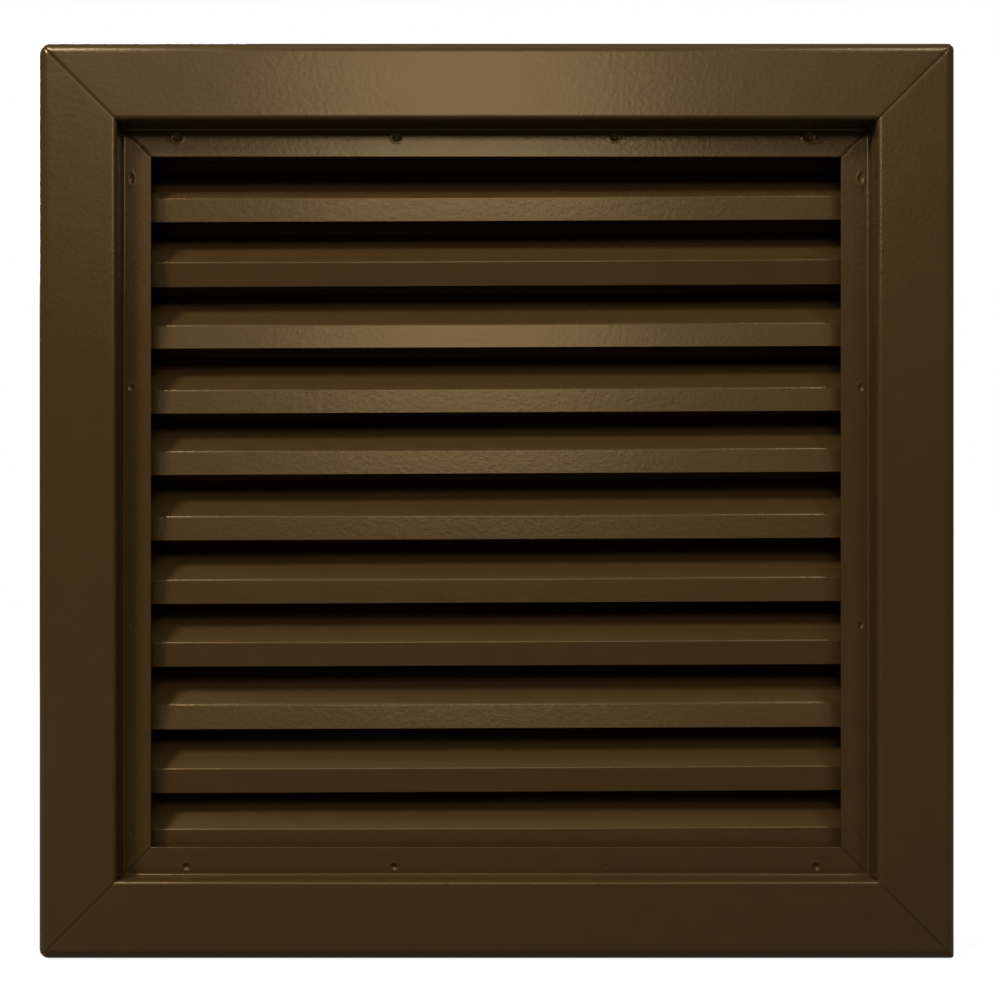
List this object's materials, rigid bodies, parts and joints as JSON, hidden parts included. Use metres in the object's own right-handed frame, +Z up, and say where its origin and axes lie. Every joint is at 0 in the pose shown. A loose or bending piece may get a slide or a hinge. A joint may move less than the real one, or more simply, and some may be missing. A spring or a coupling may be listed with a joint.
{
  "type": "door louver",
  "caption": "Square sight-proof door louver in dark bronze sheet steel: mitred frames front and rear clamp the door round a core of fixed inverted-Y blades.",
  "frame": {"origin": "middle of the door's cut-out, midway through the door's thickness, which is the middle of the louver's box", "axes": "+X right seen from the front, +Y through the door from the front to the back, +Z up"},
  "size_m": [0.3556, 0.0636, 0.3556],
  "materials": {
    "frame_paint": "satin dark bronze powder coat with a fine texture",
    "core_paint": "satin dark bronze powder coat",
    "blade_paint": "satin dark bronze powder coat with a fine texture",
    "screw_paint": "dark bronze painted steel screw"
  },
  "bodies": {
    "root": {"front_frame_head": "frame_paint", "front_frame_sill": "frame_paint", "front_frame_left": "frame_paint", "front_frame_right": "frame_paint", "rear_frame_head": "frame_paint", "rear_frame_sill": "frame_paint", "rear_frame_left": "frame_paint", "rear_frame_right": "frame_paint", "core_head": "core_paint", "core_sill": "core_paint", "core_left": "core_paint", "core_right": "core_paint", "blade_01": "blade_paint", "blade_02": "blade_paint", "blade_03": "blade_paint", "blade_04": "blade_paint", "blade_05": "blade_paint", "blade_06": "blade_paint", "blade_07": "blade_paint", "blade_08": "blade_paint", "blade_09": "blade_paint", "blade_10": "blade_paint", "blade_11": "blade_paint", "rear_frame_screws": "screw_paint"}
  },
  "joints": []
}
